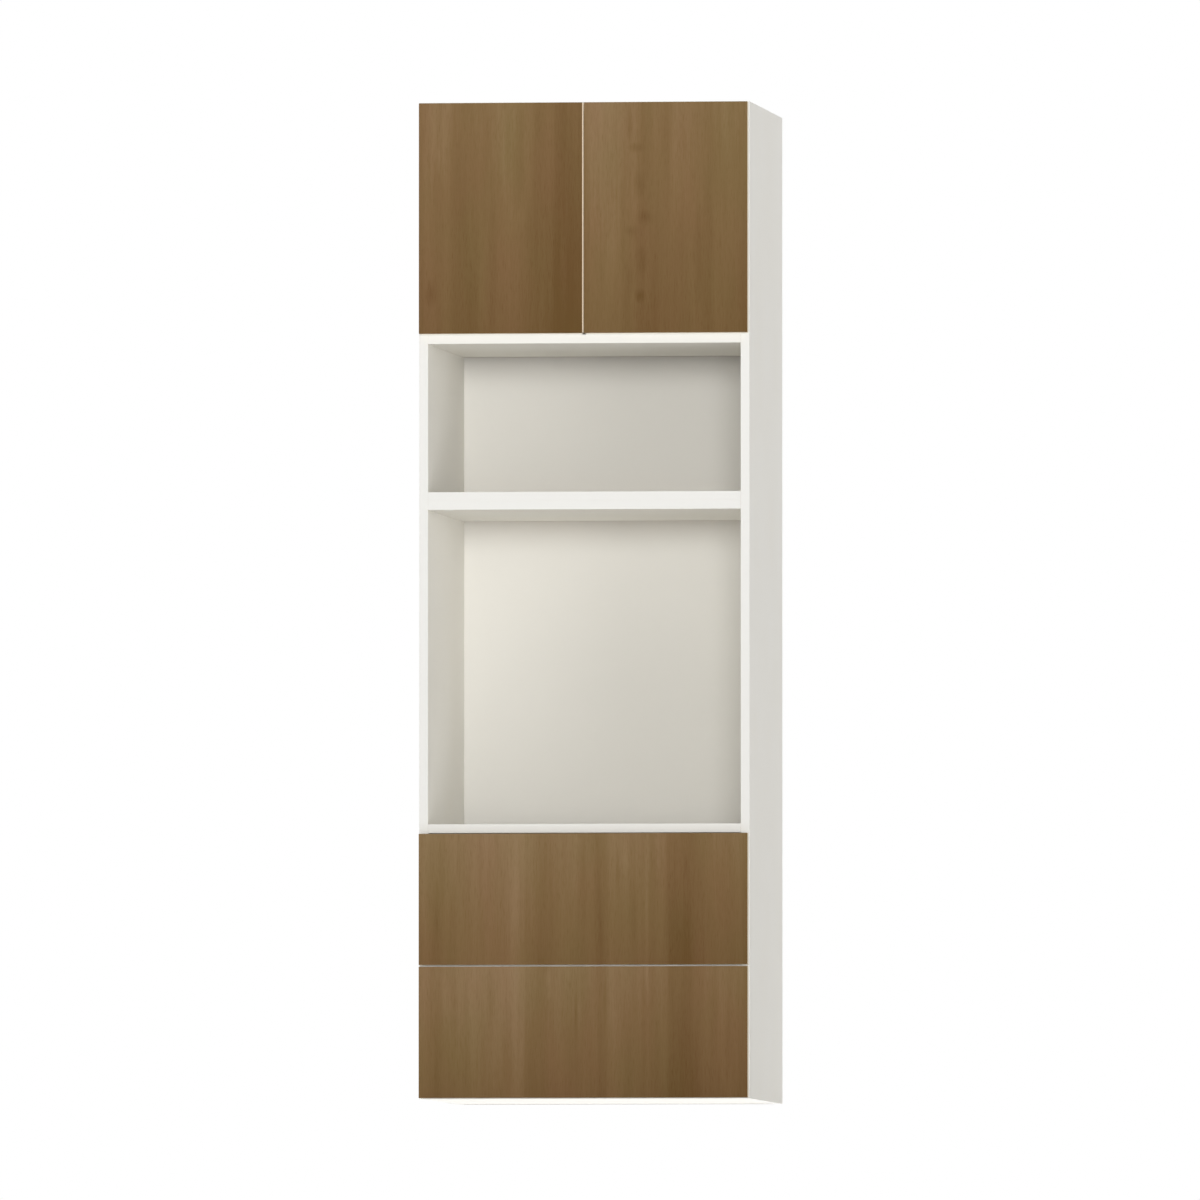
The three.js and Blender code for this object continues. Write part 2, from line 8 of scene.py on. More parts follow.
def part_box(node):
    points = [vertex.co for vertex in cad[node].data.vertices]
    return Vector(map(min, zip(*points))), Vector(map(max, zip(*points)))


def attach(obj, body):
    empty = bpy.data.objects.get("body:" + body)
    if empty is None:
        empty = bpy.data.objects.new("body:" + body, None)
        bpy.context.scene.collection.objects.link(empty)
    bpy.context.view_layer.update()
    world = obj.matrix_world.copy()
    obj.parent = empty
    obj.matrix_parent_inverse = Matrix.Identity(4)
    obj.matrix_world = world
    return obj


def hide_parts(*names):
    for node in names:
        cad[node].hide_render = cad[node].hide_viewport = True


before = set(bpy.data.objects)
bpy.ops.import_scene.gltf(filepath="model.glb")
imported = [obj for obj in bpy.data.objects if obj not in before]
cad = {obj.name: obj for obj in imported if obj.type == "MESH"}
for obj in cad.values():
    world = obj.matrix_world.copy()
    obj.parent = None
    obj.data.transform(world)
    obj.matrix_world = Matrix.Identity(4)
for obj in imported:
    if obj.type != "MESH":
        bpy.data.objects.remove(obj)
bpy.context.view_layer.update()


# ---------- carcass boards ----------
# Melamine-faced chipboard, 16 mm: pressed wood chips with a white decor paper pressed hot on
# both faces. Thin white plastic bands close the edges that show, and the rear edges stay raw.

MM = 0.001
BAND_THICKNESS = 0.8 * MM
GLUE_LINE_WIDTH = 0.2 * MM
BOARD_ARRIS = 0.35 * MM
CARCASS_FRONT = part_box("oven_floor")[0].y
HAIR = 0.005 * MM  # points this close together are one
ONE_FACE = math.radians(1)  # triangles that turn less than this lie in one flat face
SQUARE_CORNER = math.radians(50)  # edges that turn more than this are eased

CHIP = 2.4 * MM
CRUMB = 1.1 * MM
CRUMB_UNDER, CHIPS_OVER = 0.38, 0.55  # levels of the noise that parts crumb from chips
PEARL_DIMPLE = 0.6 * MM
PEARL_DEPTH = 0.1 * MM
PAPER_CLOUD = 170 * MM
# The raw edges are rougher and drier than the paper and the bands.
RAW_RELIEF, PAPER_RELIEF = 0.68, 0.08
RAW_ROUGHNESS, PAPER_ROUGHNESS = 0.9, 0.58
BOARD_GLOSS = 0.3  # the shader's specular level, which is usually 0.5

AMOUNT, FIRST, SECOND = 0, 6, 7  # the inputs of a Mix node that blends colours
FACE_ON, EDGE_ON = 0.6, 0.5  # the share of the normal that makes a spot part of a face or an edge


def shade(code):
    """An sRGB hex colour as linear light."""
    parts = [int(code[i:i + 2], 16) / 255 for i in (1, 3, 5)]
    return [c / 12.92 if c <= 0.04045 else ((c + 0.055) / 1.055) ** 2.4 for c in parts] + [1.0]


def add_node(finish, kind, inputs=None, stops=None, **settings):
    """Adds a node with its settings and colour stops. An input takes a number, a colour, a socket,
    or another node, which stands for its first output in use."""
    made = finish.node_tree.nodes.new("ShaderNode" + kind)
    for name, value in settings.items():
        setattr(made, name, value)
    for key, value in (inputs or {}).items():
        if isinstance(value, bpy.types.Node):
            value = next(output for output in value.outputs if output.enabled)
        if isinstance(value, bpy.types.NodeSocket):
            finish.node_tree.links.new(value, made.inputs[key])
        else:
            made.inputs[key].default_value = value
    for i, (place, colour) in enumerate(stops or ()):
        points = made.color_ramp.elements
        point = points[i] if i < 2 else points.new(place)
        point.position, point.color = place, colour
    return made


def start_finish(name):
    """A new material, and the piece's own coordinates to draw its patterns on."""
    finish = bpy.data.materials.new(name)
    finish.use_nodes = True
    finish.node_tree.nodes.clear()
    return finish, add_node(finish, "TexCoord").outputs


def set_surface(finish, inputs):
    """Closes a material with its surface shader."""
    skin = add_node(finish, "BsdfPrincipled", inputs)
    add_node(finish, "OutputMaterial", {"Surface": skin})
    return finish


WHITE_BAND = shade("#F1F0EC")


def cut_chipboard(finish, spot):
    """Cut edge: flat chips, pale and brown, in a darker crumb."""
    chips = add_node(finish, "TexVoronoi", {"Vector": spot["Object"], "Scale": 1 / CHIP})
    tones = add_node(finish, "ValToRGB", {0: chips.outputs["Color"]}, [
        (0.0, shade("#8C6A43")), (0.35, shade("#B28F62")), (0.7, shade("#C7A577")),
        (1.0, shade("#D9BE94"))])
    crumb = add_node(finish, "TexNoise", {
        "Vector": spot["Object"], "Scale": 1 / CRUMB, "Detail": 3})
    shows = add_node(finish, "MapRange", {
        "Value": crumb, "From Min": CRUMB_UNDER, "From Max": CHIPS_OVER})
    return add_node(finish, "Mix", {AMOUNT: shows, FIRST: shade("#6E5233"), SECOND: tones},
                    data_type="RGBA")


def board_finish(name, thickness_axis, banded, front=None):
    """Paper on the two faces, a band on the banded edges and raw chips elsewhere. banded lists
    (axis, sign) of the banded edges, and front is the y of the front edge."""
    # Melamine paper from a pearl-grain press plate: satin, with only soft, weak highlights.
    finish, spot = start_finish(name)
    facing = add_node(finish, "SeparateXYZ", {0: spot["Normal"]}).outputs
    flatness = add_node(finish, "Math", {0: facing[thickness_axis]}, operation="ABSOLUTE")
    is_face = add_node(finish, "Math", {0: flatness, 1: FACE_ON}, operation="GREATER_THAN")
    is_band = 0.0
    for axis, sign in banded:
        turned = add_node(finish, "Math", {0: facing[axis], 1: sign}, operation="MULTIPLY")
        faces_it = add_node(finish, "Math", {0: turned, 1: EDGE_ON}, operation="GREATER_THAN")
        is_band = add_node(finish, "Math", {0: faces_it, 1: is_band}, operation="MAXIMUM")
    cloud = add_node(finish, "TexNoise", {
        "Vector": spot["Object"], "Scale": 1 / PAPER_CLOUD, "Detail": 2})
    paper = add_node(finish, "Mix", {
        AMOUNT: cloud, FIRST: shade("#F2EFE7"), SECOND: shade("#F5F3ED")}, data_type="RGBA")
    if front is not None:
        # The glue shows as a fine grey line on the faces, just behind the band.
        where = add_node(finish, "SeparateXYZ", {0: spot["Object"]}).outputs
        in_glue = add_node(finish, "Math", {
            0: where[1], 1: front + BAND_THICKNESS, 2: GLUE_LINE_WIDTH / 2}, operation="COMPARE")
        paper = add_node(finish, "Mix", {
            AMOUNT: in_glue, FIRST: paper, SECOND: shade("#CFCBC0")}, data_type="RGBA")
    edge = add_node(finish, "Mix", {
        AMOUNT: is_band, FIRST: cut_chipboard(finish, spot), SECOND: WHITE_BAND}, data_type="RGBA")
    colour = add_node(finish, "Mix", {AMOUNT: is_face, FIRST: edge, SECOND: paper},
                      data_type="RGBA")
    covered = add_node(finish, "Math", {0: is_face, 1: is_band}, operation="MAXIMUM")
    pearl = add_node(finish, "TexNoise", {
        "Vector": spot["Object"], "Scale": 1 / PEARL_DIMPLE, "Detail": 1})
    relief = add_node(finish, "MapRange", {
        "Value": covered, "To Min": RAW_RELIEF, "To Max": PAPER_RELIEF})
    bump = add_node(finish, "Bump", {
        "Height": pearl, "Strength": relief, "Distance": PEARL_DEPTH})
    dryness = add_node(finish, "MapRange", {
        "Value": covered, "To Min": RAW_ROUGHNESS, "To Max": PAPER_ROUGHNESS})
    return set_surface(finish, {
        "Base Color": colour, "Roughness": dryness, "Normal": bump,
        "Specular IOR Level": BOARD_GLOSS})


def ease_edges(node_name, width, segments=2):
    """Breaks a board's sharp edges a little, as banding and sanding do. The mesh itself stays."""
    eased = cad[node_name].modifiers
    eased.new("weld", "WELD").merge_threshold = HAIR
    flat = eased.new("flat_faces", "DECIMATE")
    flat.decimate_type, flat.angle_limit = "DISSOLVE", ONE_FACE
    bevel = eased.new("eased_edges", "BEVEL")
    bevel.width, bevel.segments = width, segments
    bevel.limit_method, bevel.angle_limit = "ANGLE", SQUARE_CORNER


def dress(node_name, finish):
    """Gives a CAD node its finish."""
    for slot in cad[node_name].material_slots:
        slot.material = finish


FRONT, LEFT, RIGHT, UNDER, TOP = (1, -1), (0, -1), (0, 1), (2, -1), (2, 1)  # axis and sign
upright_finish = board_finish("white_melamine_upright", 0, [FRONT, UNDER, TOP], CARCASS_FRONT)
level_finish = board_finish("white_melamine_level", 2, [FRONT], CARCASS_FRONT)
rail_finish = board_finish("white_melamine_rail", 1, [UNDER, TOP])
LEVEL_BOARDS = ("bottom_panel", "drawer_rail", "oven_floor", "oven_ceiling", "microwave_floor",
                "cupboard_floor", "top_panel")
for finish, names in ((upright_finish, ("left_side", "right_side")),
                      (rail_finish, ("fixing_rail",)), (level_finish, LEVEL_BOARDS)):
    for name in names:
        dress(name, finish)
        ease_edges(name, BOARD_ARRIS)


# ---------- backs ----------
# Hardboard, 3 mm: wood fibre pressed on a wire mesh, which marks its brown rear face. The room
# side is lacquered white to match the boards, and small pins hold it in the rebates.

FIBRE = 3.8 * MM  # bundles of fibres, because single ones are too fine to show
DAMP_PATCH = 200 * MM
DAMP_SHARE = 0.35  # how far the darkest patch goes towards the colour of damp
MESH_PITCH = 2.9 * MM  # about 1.5 mm really, drawn coarser so that it shows
MESH_DEPTH = 0.3 * MM
MESH_RELIEF, LACQUER_RELIEF = 0.25, 0.03
FIBRE_ROUGHNESS, LACQUER_ROUGHNESS = 0.85, 0.6
NOISE_LOW, NOISE_HIGH = 0.3, 0.7  # most of a soft noise lies between these
PIN_LINE_X = 288 * MM
PIN_PITCH = 150 * MM
PIN_HEAD_RADIUS = 1.6 * MM


def pin_heads(finish, spot):
    """1 on the flat heads of the steel pins that hold the back panel along both rebates, else 0."""
    where = add_node(finish, "SeparateXYZ", {0: spot["Object"]}).outputs
    from_middle = add_node(finish, "Math", {0: where[0]}, operation="ABSOLUTE")
    off_line = add_node(finish, "Math", {0: from_middle, 1: PIN_LINE_X}, operation="SUBTRACT")
    along = add_node(finish, "Math", {0: where[2], 1: PIN_PITCH / 2}, operation="PINGPONG")
    off_pin = add_node(finish, "Math", {0: along, 1: PIN_PITCH / 2}, operation="SUBTRACT")
    reach = add_node(finish, "CombineXYZ", {0: off_line, 1: off_pin})
    far = add_node(finish, "VectorMath", {0: reach}, operation="LENGTH")
    return add_node(finish, "Math", {0: far, 1: PIN_HEAD_RADIUS}, operation="LESS_THAN")


def hardboard_finish(name, axis, brown_sign, pinned=False):
    """White lacquer on one face, and bare fibre on the other and on the edges."""
    # Thin satin lacquer over a smooth face. The bare rear is dry and brown, with the mesh's print.
    finish, spot = start_finish(name)
    facing = add_node(finish, "SeparateXYZ", {0: spot["Normal"]}).outputs
    turned = add_node(finish, "Math", {0: facing[axis], 1: -brown_sign}, operation="MULTIPLY")
    is_white = add_node(finish, "Math", {0: turned, 1: EDGE_ON}, operation="GREATER_THAN")
    fibres = add_node(finish, "TexNoise", {
        "Vector": spot["Object"], "Scale": 1 / FIBRE, "Detail": 4, "Roughness": 0.7})
    brown = add_node(finish, "ValToRGB", {0: fibres}, [
        (0.3, shade("#6B4A2E")), (0.5, shade("#8A6543")), (0.72, shade("#A5805A"))])
    patches = add_node(finish, "TexNoise", {
        "Vector": spot["Object"], "Scale": 1 / DAMP_PATCH, "Detail": 2})
    damp = add_node(finish, "MapRange", {
        "Value": patches, "From Min": NOISE_LOW, "From Max": NOISE_HIGH, "To Max": DAMP_SHARE})
    bare = add_node(finish, "Mix", {AMOUNT: damp, FIRST: brown, SECOND: shade("#7A5A3C")},
                    data_type="RGBA")
    if pinned:
        bare = add_node(finish, "Mix", {
            AMOUNT: pin_heads(finish, spot), FIRST: bare, SECOND: shade("#C9CBCC")},
            data_type="RGBA")
    colour = add_node(finish, "Mix", {AMOUNT: is_white, FIRST: bare, SECOND: shade("#F3F1EB")},
                      data_type="RGBA")
    # A wave repeats every tenth of pi at a scale of 1.
    wires = [add_node(finish, "TexWave", {
        "Vector": spot["Object"], "Scale": math.pi / 10 / MESH_PITCH, "Distortion": 0.5},
        bands_direction=way).outputs["Fac"] for way in ("X", "Z" if axis == 1 else "Y")]
    print_height = add_node(finish, "Math", dict(enumerate(wires)), operation="ADD")
    relief = add_node(finish, "MapRange", {
        "Value": is_white, "To Min": MESH_RELIEF, "To Max": LACQUER_RELIEF})
    bump = add_node(finish, "Bump", {
        "Height": print_height, "Strength": relief, "Distance": MESH_DEPTH})
    dryness = add_node(finish, "MapRange", {
        "Value": is_white, "To Min": FIBRE_ROUGHNESS, "To Max": LACQUER_ROUGHNESS})
    return set_surface(finish, {
        "Base Color": colour, "Roughness": dryness, "Normal": bump,
        "Specular IOR Level": BOARD_GLOSS})


dress("back_panel", hardboard_finish("white_hardboard_back", 1, 1, pinned=True))
dress("cupboard_back", hardboard_finish("white_hardboard_upright", 1, 1))


# ---------- board connectors ----------
# Cam connectors pull the boards together from inside. Each sits in a bore 34 mm from the board's
# end, closed by a moulded white snap cap 17 mm across, and is turned with a screwdriver.

def only(*pieces):
    """Selects these pieces and nothing else."""
    bpy.ops.object.select_all(action="DESELECT")
    for piece in pieces:
        piece.select_set(True)
    bpy.context.view_layer.objects.active = pieces[0]


def pick(kind, test):
    """In edit mode, selects the faces or edges that pass the test."""
    bpy.ops.mesh.select_mode(type=kind)
    bpy.ops.mesh.select_all(action="DESELECT")
    shape = bmesh.from_edit_mesh(bpy.context.object.data)
    for part in shape.faces if kind == "FACE" else shape.edges:
        part.select_set(bool(test(part)))
    bmesh.update_edit_mesh(bpy.context.object.data)


def merge_close(piece, distance):
    """Merges the points of a piece that lie closer together than the distance."""
    only(piece)
    bpy.ops.object.mode_set(mode="EDIT")
    bpy.ops.mesh.select_all(action="SELECT")
    bpy.ops.mesh.remove_doubles(threshold=distance)
    bpy.ops.object.mode_set(mode="OBJECT")


POINTS_THE_WAY = 0.9  # a face points a way when this much of its normal does
ROUND = math.radians(35)  # faces that turn less than this are shaded as one round surface


def turned_disc(radius, steps, sides):
    """A round piece standing on z = 0: a cylinder whose top is inset and raised step by step.
    steps are (inset, rise), the first rise being the height of the plain rim."""
    rim = steps[0][1]
    bpy.ops.object.select_all(action="DESELECT")
    bpy.ops.mesh.primitive_cylinder_add(
        vertices=sides, radius=radius, depth=rim, location=(0, 0, rim / 2))
    piece = bpy.context.object
    bpy.ops.object.transform_apply(location=True, rotation=True, scale=True)
    bpy.ops.object.mode_set(mode="EDIT")
    pick("FACE", lambda face: face.normal.z > POINTS_THE_WAY)
    for inset, rise in steps[1:]:
        bpy.ops.mesh.inset(thickness=inset)
        bpy.ops.transform.translate(value=(0, 0, rise))
    bpy.ops.object.mode_set(mode="OBJECT")
    bpy.ops.object.shade_smooth_by_angle(angle=ROUND)
    return piece


def standing(point, direction, size=1.0, height=1.0):
    """The place of a piece that stands on z = 0, set on a point with its top in a direction."""
    turn = Vector(direction).to_track_quat("Z", "Y").to_matrix().to_4x4()
    return Matrix.Translation(Vector(point)) @ turn @ Matrix.Diagonal((size, size, height, 1))


def settle(pieces, name, finish, body):
    """Joins pieces into one, puts its place in its mesh, and gives it its finish and body."""
    only(*pieces)
    if len(pieces) > 1:
        bpy.ops.object.join()
    piece = bpy.context.object
    bpy.ops.object.transform_apply(location=True, rotation=True, scale=True)
    piece.name = piece.data.name = name
    piece.data.materials.clear()
    piece.data.materials.append(finish)
    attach(piece, body)
    return piece


def set_of(model, places, name, finish, body):
    """Copies of one modelled piece at several places, each with its own mesh, as one set."""
    copies = []
    for place in places:
        copy = bpy.data.objects.new(name, model.data.copy())
        bpy.context.scene.collection.objects.link(copy)
        copy.matrix_world = place @ model.matrix_world
        copies.append(copy)
    return settle(copies, name, finish, body)


SPARK_RELIEF, SPARK_DEPTH = 0.1, 0.05 * MM


def clouded_finish(name, dark, pale, patch, rough, drawn=(1, 1, 1), grain=None, **surface):
    """A surface whose colour and gloss drift over soft patches, drawn out where drawn is below 1.
    rough is the least and most roughness, and grain the size of a fine surface texture."""
    finish, spot = start_finish(name)
    laid = add_node(finish, "Mapping", {"Vector": spot["Object"], "Scale": drawn})
    cloud = add_node(finish, "TexNoise", {"Vector": laid, "Scale": 1 / patch, "Detail": 3})
    colour = add_node(finish, "Mix", {AMOUNT: cloud, FIRST: shade(dark), SECOND: shade(pale)},
                      data_type="RGBA")
    drifting = add_node(finish, "MapRange", {
        "Value": cloud, "From Min": NOISE_LOW, "From Max": NOISE_HIGH,
        "To Min": rough[0], "To Max": rough[1]})
    inputs = {"Base Color": colour, "Roughness": drifting}
    if grain:
        spark = add_node(finish, "TexNoise", {"Vector": spot["Object"], "Scale": 1 / grain})
        inputs["Normal"] = add_node(finish, "Bump", {
            "Height": spark, "Strength": SPARK_RELIEF, "Distance": SPARK_DEPTH})
    return set_surface(finish, inputs | {key.replace("_", " "): v for key, v in surface.items()})


# White polystyrene, injection moulded: plain, fairly shiny, with a faint swirl from the gate.
cap_plastic = clouded_finish("white_polystyrene", "#E9E8E2", "#F0EFEB", patch=7 * MM,
                             rough=(0.31, 0.42))

CAP_RADIUS = 8.5 * MM
CAP_STEPS = [(0, 0.4 * MM), (0.5 * MM, 0.25 * MM), (5 * MM, 0.1 * MM)]
CAP_FROM_END = 34 * MM
CAP_ROWS_Y = (-236 * MM, 213 * MM)
cap = turned_disc(CAP_RADIUS, CAP_STEPS, sides=32)
CAPPED_FROM_BELOW = ("oven_ceiling", "top_panel")
for name in LEVEL_BOARDS:
    low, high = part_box(name)
    z, up = (low.z, -1) if name in CAPPED_FROM_BELOW else (high.z, 1)
    places = [standing((x, y, z), (0, 0, up))
              for x in (low.x + CAP_FROM_END, high.x - CAP_FROM_END)
              for y in CAP_ROWS_Y if y < high.y]
    set_of(cap, places, f"{name}_connector_caps", cap_plastic, "carcass")


# ---------- screws ----------
# Zinc-plated chipboard screws with low round heads and a pressed cross recess. Here the model is
# made, and the two largest hold the fixing rail to the wall through the back.

# Bright zinc over cold-headed steel: shiny, with a slight blue cast, greyer where it is worn.
screw_zinc = clouded_finish("bright_zinc_plate", "#AEB3B8", "#D3D7DA", patch=1.1 * MM,
                            rough=(0.22, 0.38), Metallic=1.0)

HEAD_RADIUS = 3.5 * MM
HEAD_STEPS = [(0, 0.5 * MM), (0.5 * MM, 0.5 * MM), (0.9 * MM, 0.3 * MM), (1.0 * MM, 0.1 * MM)]
RECESS = (3.8 * MM, 0.75 * MM, 1.3 * MM)
RECESS_MIDDLE_Z = 1.1 * MM
screw = turned_disc(HEAD_RADIUS, HEAD_STEPS, sides=20)
for turn in (0, math.pi / 2):
    bpy.ops.object.select_all(action="DESELECT")
    bpy.ops.mesh.primitive_cube_add(
        size=1, location=(0, 0, RECESS_MIDDLE_Z), rotation=(0, 0, turn))
    cutter = bpy.context.object
    cutter.scale = RECESS
    cut = screw.modifiers.new("recess", "BOOLEAN")
    cut.object, cut.operation, cut.solver = cutter, "DIFFERENCE", "EXACT"
    only(screw)
    bpy.ops.object.modifier_apply(modifier="recess")
    bpy.data.objects.remove(cutter)
merge_close(screw, HAIR)

RAIL_SCREW_X = 200 * MM
RAIL_SCREW_SIZE, RAIL_SCREW_HEIGHT = 1.35, 1.2  # beside the model's
low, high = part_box("fixing_rail")
middle_z = (low.z + high.z) / 2
rail_screws = [standing((x, low.y, middle_z), (0, -1, 0), RAIL_SCREW_SIZE, RAIL_SCREW_HEIGHT)
               for x in (-RAIL_SCREW_X, RAIL_SCREW_X)]
set_of(screw, rail_screws, "fixing_rail_screws", screw_zinc, "carcass")


# ---------- shelf and its pins ----------
# The shelf is a board like the carcass, banded on three edges. It lies loose on four turned steel
# pins, nickel plated, pushed into the lines of holes in the sides.

SIDES = (("left", -1), ("right", 1))
SHELF_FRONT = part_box("cupboard_shelf")[0].y
shelf_finish = board_finish("white_melamine_shelf", 2, [FRONT, LEFT, RIGHT], SHELF_FRONT)
dress("cupboard_shelf", shelf_finish)
ease_edges("cupboard_shelf", BOARD_ARRIS)

# Nickel plate over polished steel: warm grey and bright, a little cloudy where it was handled.
nickel_plate = clouded_finish("nickel_plate", "#B3AEA5", "#CFCBC3", patch=8 * MM,
                              rough=(0.18, 0.34), Metallic=1.0)

PIN_ARRIS = 0.2 * MM
SHORTEST_EDGE = 0.09 * MM  # a shorter one would hold back the bevel of the whole piece
FOLD = math.radians(40)  # edges that turn more than this are broken
CURVE = math.radians(38)  # as ROUND, for the folded and turned metal parts


def refined(node_name, finish, body, arris):
    """Stands a finer copy of a CAD node in its place, with its sharp edges broken and its round
    faces shaded round."""
    piece = bpy.data.objects.new(f"{node_name}_finished", cad[node_name].data.copy())
    bpy.context.scene.collection.objects.link(piece)
    merge_close(piece, SHORTEST_EDGE)
    bpy.ops.object.mode_set(mode="EDIT")
    bpy.ops.mesh.select_all(action="SELECT")
    bpy.ops.mesh.dissolve_limited(angle_limit=ONE_FACE)
    bpy.ops.object.mode_set(mode="OBJECT")
    bevel = piece.modifiers.new("broken_edges", "BEVEL")
    bevel.width, bevel.segments = arris, 2
    bevel.limit_method, bevel.angle_limit = "ANGLE", FOLD
    bpy.ops.object.modifier_apply(modifier="broken_edges")
    merge_close(piece, HAIR)
    bpy.ops.object.shade_smooth_by_angle(angle=CURVE)
    settle([piece], piece.name, finish, body)
    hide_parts(node_name)


for name, _ in SIDES:
    for end in ("front", "rear"):
        refined(f"shelf_pin_{name}_{end}", nickel_plate, "carcass", PIN_ARRIS)


# ---------- doors and drawer fronts ----------
# Chipboard, 18 mm, with a printed walnut decor under a clear matt resin on the front, plain white
# paper on the back and a cream plastic band on all four edges.

# The print drifts between two browns, each from its dark to its pale tone.
OLIVE_BROWN = ("#5E451B", "#78613A", "#947E5A")
RED_BROWN = ("#61431D", "#7D5F3D", "#997C5E")
CREAM_BAND = shade("#F0E4CE")
FRONT_ARRIS = 0.6 * MM
# The soft patterns: size across and along in mm, detail, and where in the noise they lie.
STRAY = ((71, 200), 2, 3.7)
DRIFT = ((77, 250), 2, 9.1)
DRIFT_LOW, DRIFT_HIGH = 0.25, 0.75  # wholly olive and wholly red at these levels of the noise
WANDER = 9 * MM  # how far the figure strays from upright
# Painted shade and light: each front is painted darker towards its foot and lighter at its top.
PAINTED_FOOT_SHADE, PAINTED_TOP_LIGHT = -0.275, 0.055  # what a front's foot loses and its top gains
# Growth bands and fibres: size, detail, and share of the tone scale. The finest fibres are drawn
# about twice as wide as real ones, so that they show.
GRAIN = (((17, 300), 3, 0.30), ((3.0, 110), 2, 0.11), ((0.8, 60), 1, 0.04))
PORE = (0.5, 18)  # 0.2 mm across in real walnut, printed here a little coarser so that it shows
PORE_OPENS, PORE_FULL = 0.54, 0.7  # levels of its noise
PORE_TONE = 0.17
PORE_DEPTH, PORE_RELIEF = 0.1 * MM, 0.15
RESIN_ROUGHNESS, RESIN_GLOSS = 0.65, 0.2  # gloss as BOARD_GLOSS


def along_grain(finish, spot, size, detail, shift=0.0):
    """A soft pattern drawn out along the grain, around 0.5. size is mm across and mm along."""
    stretched = add_node(finish, "Mapping", {
        "Vector": spot["Object"], "Scale": (1 / (size[0] * MM), 1, 1 / (size[1] * MM)),
        "Location": (shift, 0, shift)})
    return add_node(finish, "TexNoise", {"Vector": stretched, "Scale": 1, "Detail": detail})


def wood_finish(name, front_name, bands, streaks):
    """bands are (mm from the front's left edge, tone from 0 dark to 100 pale), and streaks are
    spindles (mm from the left, mm from the top, half width, half height, strength in tones)."""
    # Printed walnut under matt resin: soft upright bands, tapered streaks and fine pores, with a
    # broad, weak sheen. Painted shade and light make each front darker towards its foot and
    # lighter at its top.
    finish, spot = start_finish(name)
    low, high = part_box(front_name)
    strays = add_node(finish, "Math", {0: along_grain(finish, spot, *STRAY), 1: 0.5},
                      operation="SUBTRACT")
    figure_at = add_node(finish, "VectorMath", {0: strays, 1: (WANDER, 0, 0), 2: spot["Object"]},
                         operation="MULTIPLY_ADD")
    where = add_node(finish, "SeparateXYZ", {0: figure_at}).outputs
    across = add_node(finish, "MapRange", {
        "Value": where[0], "From Min": low.x, "From Max": high.x})
    width = (high.x - low.x) / MM
    figure = add_node(finish, "ValToRGB", {0: across}, [
        (mm / width, (tone / 100,) * 3 + (1.0,)) for mm, tone in bands])
    figure.color_ramp.interpolation = "EASE"
    # Painted shade and light: the tone falls towards each front's foot and rises a little at its
    # top.
    painted_shade_and_light = add_node(finish, "MapRange", {
        "Value": where[2], "From Min": low.z, "From Max": high.z,
        "To Min": PAINTED_FOOT_SHADE, "To Max": PAINTED_TOP_LIGHT})
    tone = add_node(finish, "Math", {0: figure, 1: painted_shade_and_light}, operation="ADD")
    for mm, top, half_width, half_height, strength in streaks:
        centre = (low.x + mm * MM, high.z - top * MM)
        scale = (1 / (half_width * MM), 1 / (half_height * MM))
        laid = add_node(finish, "Mapping", {
            "Vector": figure_at, "Scale": (scale[0], 0, scale[1]),
            "Location": (-centre[0] * scale[0], 0, -centre[1] * scale[1])})
        spindle = add_node(finish, "TexGradient", {0: laid}, gradient_type="SPHERICAL")
        tone = add_node(finish, "Math", {0: spindle, 1: strength / 100, 2: tone},
                        operation="MULTIPLY_ADD")
    for size, detail, share in GRAIN:
        pattern = along_grain(finish, spot, size, detail)
        tone = add_node(finish, "Math", {0: pattern, 1: share, 2: tone}, operation="MULTIPLY_ADD")
    # These patterns lie around 0.5, so half of their shares comes off again.
    tone = add_node(finish, "Math", {0: tone, 1: sum(share for _, _, share in GRAIN) / 2},
                    operation="SUBTRACT")
    pores = add_node(finish, "MapRange", {
        "Value": along_grain(finish, spot, PORE, 1), "From Min": PORE_OPENS,
        "From Max": PORE_FULL})
    tone = add_node(finish, "Math", {0: pores, 1: -PORE_TONE, 2: tone}, operation="MULTIPLY_ADD")
    browns = [add_node(finish, "ValToRGB", {0: tone}, [
        (i / 2, shade(code)) for i, code in enumerate(brown)])
        for brown in (OLIVE_BROWN, RED_BROWN)]
    drift = add_node(finish, "MapRange", {
        "Value": along_grain(finish, spot, *DRIFT), "From Min": DRIFT_LOW,
        "From Max": DRIFT_HIGH})
    printed = add_node(finish, "Mix", {AMOUNT: drift, FIRST: browns[0], SECOND: browns[1]},
                       data_type="RGBA")

    facing = add_node(finish, "SeparateXYZ", {0: spot["Normal"]}).outputs
    is_front = add_node(finish, "Math", {0: facing[1], 1: -FACE_ON}, operation="LESS_THAN")
    is_rear = add_node(finish, "Math", {0: facing[1], 1: FACE_ON}, operation="GREATER_THAN")
    edged = add_node(finish, "Mix", {
        AMOUNT: is_rear, FIRST: CREAM_BAND, SECOND: shade("#F4F2EC")}, data_type="RGBA")
    colour = add_node(finish, "Mix", {AMOUNT: is_front, FIRST: edged, SECOND: printed},
                      data_type="RGBA")
    dents = add_node(finish, "Math", {0: pores, 1: is_front}, operation="MULTIPLY")
    bump = add_node(finish, "Bump", {
        "Height": dents, "Strength": PORE_RELIEF, "Distance": PORE_DEPTH}, invert=True)
    return set_surface(finish, {
        "Base Color": colour, "Roughness": RESIN_ROUGHNESS, "Normal": bump,
        "Specular IOR Level": RESIN_GLOSS})


